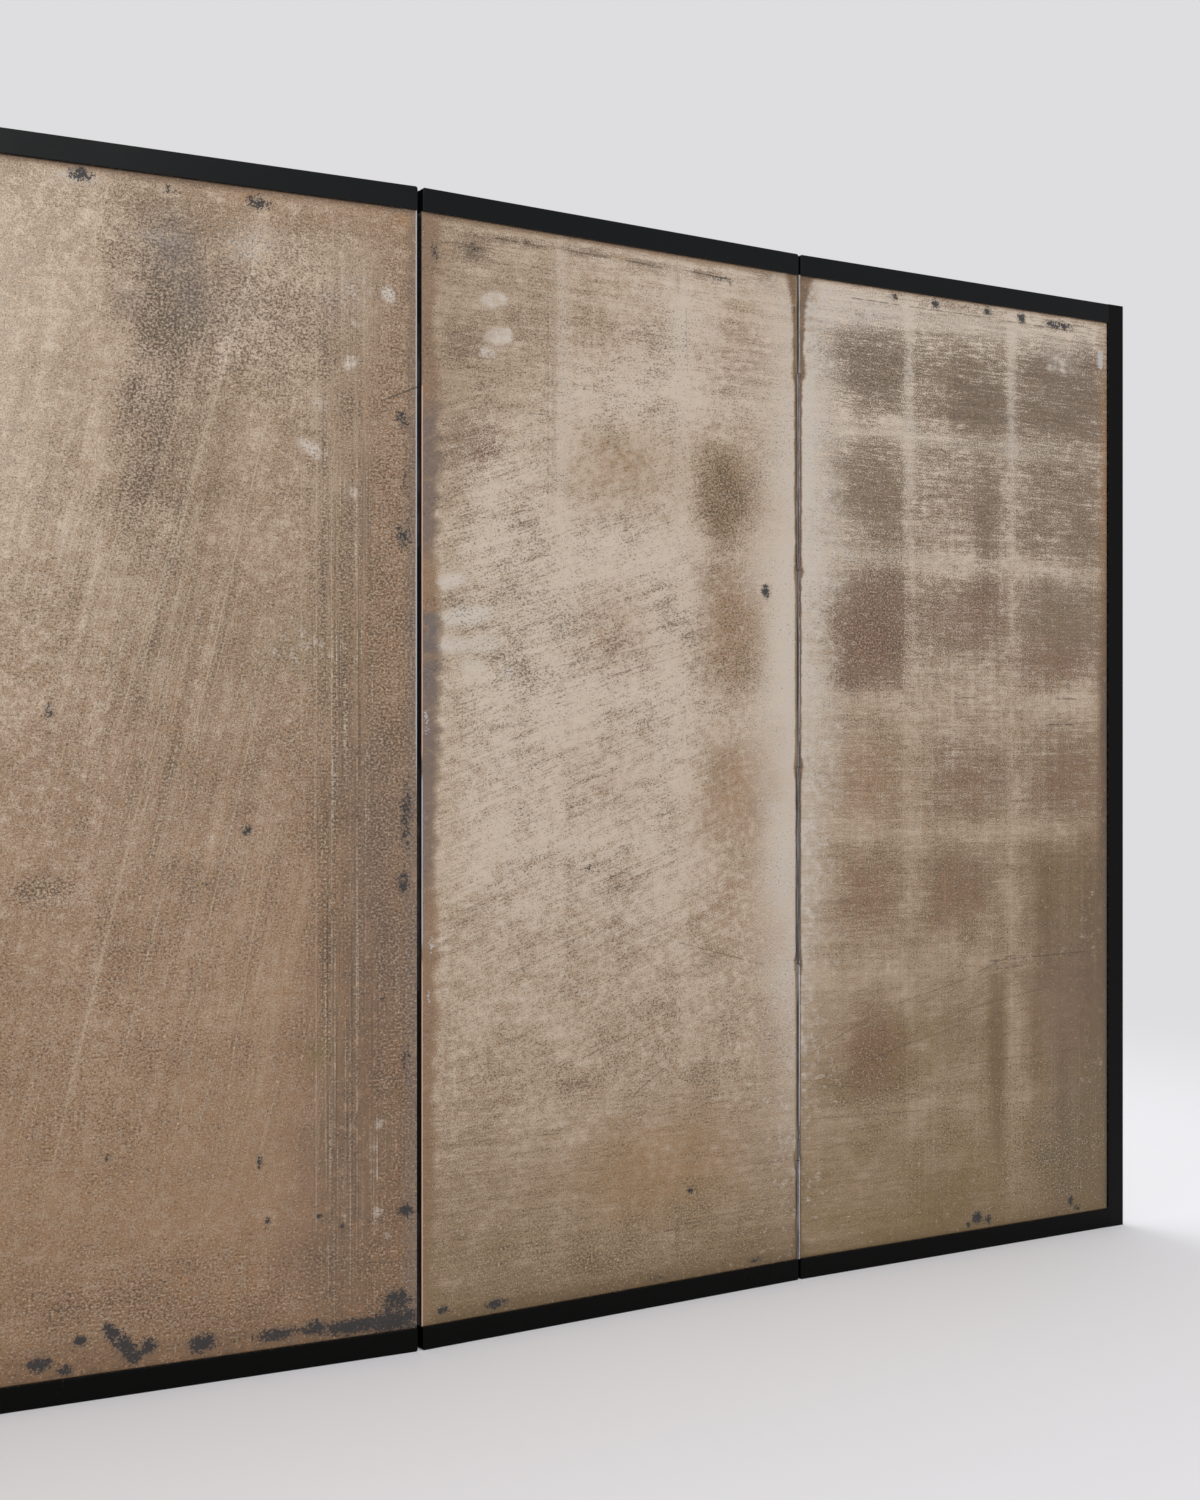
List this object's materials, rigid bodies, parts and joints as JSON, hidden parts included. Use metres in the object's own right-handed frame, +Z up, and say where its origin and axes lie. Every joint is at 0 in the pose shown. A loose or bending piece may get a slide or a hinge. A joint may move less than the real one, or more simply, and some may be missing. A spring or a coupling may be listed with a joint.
{
  "type": "folding screen",
  "caption": "Folding screen of paper-covered lattice panels with tarnished silver-leaf fronts and black lacquered frames, joined by paper hinges so that it folds flat as a concertina.",
  "frame": {"origin": "the middle of the bottom edge: centred in X and Y, at the underside of the rails", "axes": "+X runs along the screen to its right-hand end as seen from the front, -Y is the silvered front, +Y the back that faces the wall, +Z is up"},
  "size_m": [3.084, 0.049, 1.212],
  "materials": {
    "cedar": "planed softwood, unfinished",
    "lining_paper": "several layers of handmade paper, pasted",
    "silver_leaf": "silver leaf on paper, tarnished to warm brown and grey",
    "back_paper": "plain aged paper",
    "black_lacquer": "black lacquer, semi-gloss, on softwood",
    "bamboo": "split bamboo",
    "hinge_paper": "tough handmade paper, worn brown"
  },
  "bodies": {
    "panel_1": {"panel_1_core": "cedar", "panel_1_linings": "lining_paper", "panel_1_silver_face": "silver_leaf", "panel_1_back_paper": "back_paper", "panel_1_top_rail": "black_lacquer", "panel_1_bottom_rail": "black_lacquer", "panel_1_pegs": "bamboo", "right_stile": "black_lacquer", "paper_hinge_1_2_right": "hinge_paper"},
    "panel_2": {"panel_2_core": "cedar", "panel_2_linings": "lining_paper", "panel_2_silver_face": "silver_leaf", "panel_2_back_paper": "back_paper", "panel_2_top_rail": "black_lacquer", "panel_2_bottom_rail": "black_lacquer", "panel_2_pegs": "bamboo", "paper_hinge_1_2_left": "hinge_paper", "paper_hinge_2_3_right": "hinge_paper"},
    "panel_3": {"panel_3_core": "cedar", "panel_3_linings": "lining_paper", "panel_3_silver_face": "silver_leaf", "panel_3_back_paper": "back_paper", "panel_3_top_rail": "black_lacquer", "panel_3_bottom_rail": "black_lacquer", "panel_3_pegs": "bamboo", "paper_hinge_2_3_left": "hinge_paper", "paper_hinge_3_4_right": "hinge_paper"},
    "panel_4": {"panel_4_core": "cedar", "panel_4_linings": "lining_paper", "panel_4_silver_face": "silver_leaf", "panel_4_back_paper": "back_paper", "panel_4_top_rail": "black_lacquer", "panel_4_bottom_rail": "black_lacquer", "panel_4_pegs": "bamboo", "paper_hinge_3_4_left": "hinge_paper", "paper_hinge_4_5_right": "hinge_paper"},
    "panel_5": {"panel_5_core": "cedar", "panel_5_linings": "lining_paper", "panel_5_silver_face": "silver_leaf", "panel_5_back_paper": "back_paper", "panel_5_top_rail": "black_lacquer", "panel_5_bottom_rail": "black_lacquer", "panel_5_pegs": "bamboo", "paper_hinge_4_5_left": "hinge_paper", "paper_hinge_5_6_right": "hinge_paper"},
    "panel_6": {"panel_6_core": "cedar", "panel_6_linings": "lining_paper", "panel_6_silver_face": "silver_leaf", "panel_6_back_paper": "back_paper", "panel_6_top_rail": "black_lacquer", "panel_6_bottom_rail": "black_lacquer", "panel_6_pegs": "bamboo", "left_stile": "black_lacquer", "paper_hinge_5_6_left": "hinge_paper"}
  },
  "joints": [
    {"name": "fold_3_4", "type": "hinge", "parent": "panel_3", "child": "panel_4", "pos_m": [0, 0.00111, 0.606], "axis": [0, 0, 1], "range_deg": [-5.9, 174.1]},
    {"name": "fold_2_3", "type": "hinge", "parent": "panel_3", "child": "panel_2", "pos_m": [0.50579, -0.00633, 0.606], "axis": [0, 0, 1], "range_deg": [-5.9, 174.1]},
    {"name": "fold_1_2", "type": "hinge", "parent": "panel_2", "child": "panel_1", "pos_m": [1.01157, 0.00111, 0.606], "axis": [0, 0, -1], "range_deg": [-2.4, 177.6]},
    {"name": "fold_4_5", "type": "hinge", "parent": "panel_4", "child": "panel_5", "pos_m": [-0.50579, -0.00633, 0.606], "axis": [0, 0, -1], "range_deg": [-5.9, 174.1]},
    {"name": "fold_5_6", "type": "hinge", "parent": "panel_5", "child": "panel_6", "pos_m": [-1.01157, 0.00111, 0.606], "axis": [0, 0, 1], "range_deg": [-2.4, 177.6]}
  ]
}
